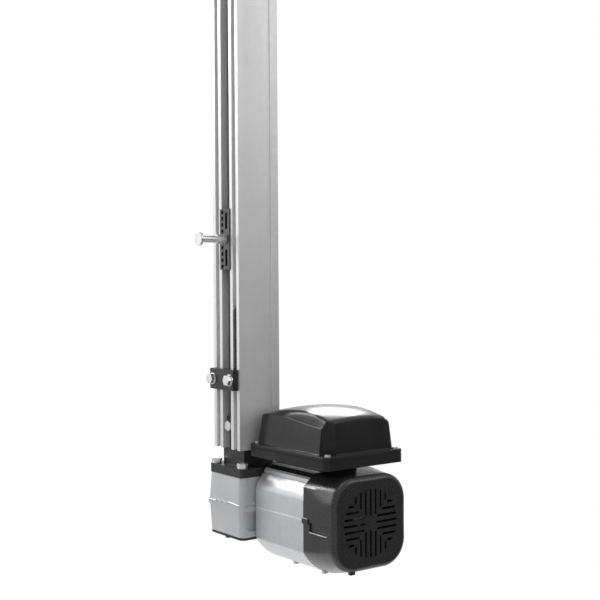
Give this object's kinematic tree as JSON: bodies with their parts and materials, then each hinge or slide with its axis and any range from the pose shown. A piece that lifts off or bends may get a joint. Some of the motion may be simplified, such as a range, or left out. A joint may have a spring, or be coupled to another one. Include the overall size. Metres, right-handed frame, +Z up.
{
  "type": "garage door opener",
  "caption": "Spindle-driven side opener for an up-and-over garage door: slotted rail with carriage and drive pin, worm gearbox, motor and control box",
  "frame": {"origin": "the middle of the four fixing holes, on the flat back of the rail", "axes": "+Z points up the rail, +Y out of its back towards what it is fixed to, -Y out of the slot, +X along the motor away from the gearbox"},
  "size_m": [0.258, 0.1861, 1.3585],
  "materials": {
    "anodised_rail": "satin anodised extrusion",
    "cast_grey": "light grey die casting",
    "motor_alloy": "bright as-cast aluminium",
    "black_steel": "black coated steel",
    "black_moulding": "black glass-filled polyamide",
    "black_gloss": "semi-gloss black moulding",
    "zinc_steel": "zinc-plated fasteners",
    "ground_steel": "machined steel",
    "dark_steel": "oiled steel",
    "bearing_steel": "bearing steel",
    "bronze": "gear bronze",
    "nut_polymer": "self-lubricating nut polymer",
    "seal_rubber": "nitrile rubber",
    "lamination": "electrical steel laminations",
    "copper_winding": "enamelled copper",
    "board_green": "solder-masked board",
    "relay_blue": "relay cases",
    "terminal_green": "terminal strip",
    "capacitor_white": "capacitor can",
    "coil_tan": "wound transformer",
    "magnet_dark": "sintered magnet"
  },
  "bodies": {
    "frame": {"rail": "anodised_rail", "rail_head": "black_moulding", "head_bush": "bronze", "rail_screws": "zinc_steel", "foot": "black_steel", "slot_key": "black_steel", "key_bolt": "zinc_steel", "foot_bearing": "bearing_steel", "flange_bolts": "zinc_steel", "flange_washers": "zinc_steel", "limit_sensor": "black_moulding", "upper_bearing": "bearing_steel", "lower_bearing": "bearing_steel", "shaft_seal": "seal_rubber", "gearbox_upper": "cast_grey", "gearbox_lower": "cast_grey", "gearbox_base": "black_steel", "base_screws": "dark_steel", "case_screws": "zinc_steel", "worm_end_bearing": "bearing_steel", "worm_bearing": "bearing_steel", "motor_housing": "motor_alloy", "motor_screws": "zinc_steel", "stator_core": "lamination", "windings": "copper_winding", "end_shield": "cast_grey", "motor_bearing": "bearing_steel", "fan_cover": "black_moulding", "box_foot": "black_moulding", "box_base": "black_gloss", "box_fixings": "zinc_steel", "box_seal": "seal_rubber", "box_lid": "black_gloss", "lid_screws": "zinc_steel", "control_board": "board_green", "board_screws": "zinc_steel", "transformer": "coil_tan", "relays": "relay_blue", "terminal_block": "terminal_green", "capacitor": "capacitor_white", "cable_grommet": "seal_rubber"},
    "lower_stop": {"stop_block": "black_steel", "stop_bolts": "zinc_steel", "stop_washers": "zinc_steel", "stop_nuts": "dark_steel"},
    "rotor": {"worm_shaft": "ground_steel", "rotor_core": "lamination", "cooling_fan": "black_moulding"},
    "spindle_train": {"spindle": "dark_steel", "coupling": "ground_steel", "coupling_screws": "dark_steel", "output_shaft": "ground_steel", "worm_wheel": "bronze", "wheel_key": "dark_steel"},
    "slider": {"carriage": "black_moulding", "drive_nut": "nut_polymer", "nut_screws": "zinc_steel", "drive_pin": "ground_steel", "magnet": "magnet_dark"}
  },
  "joints": [
    {"name": "rotor_spin", "type": "hinge", "parent": "frame", "child": "rotor", "pos_m": [0, 0.014, -0.6755], "axis": [1, 0, 0], "range_deg": [-90720, 14364]},
    {"name": "spindle_spin", "type": "hinge", "parent": "frame", "child": "spindle_train", "pos_m": [0, -0.03, -0.6755], "axis": [0, 0, 1], "range_deg": [-6049, 958.6]},
    {"name": "carriage_slide", "type": "slide", "parent": "frame", "child": "slider", "axis": [0, 0, 1], "range_m": [-0.1332, 0.8402]},
    {"name": "stop_slide", "type": "slide", "parent": "frame", "child": "lower_stop", "axis": [0, 0, 1], "range_m": [-0.045, 0]}
  ],
  "couplings": [
    {"joint": "spindle_spin", "follows": "rotor_spin", "ratio": 0.066667},
    {"joint": "carriage_slide", "follows": "rotor_spin", "m_per_rad": -0.00053052}
  ]
}
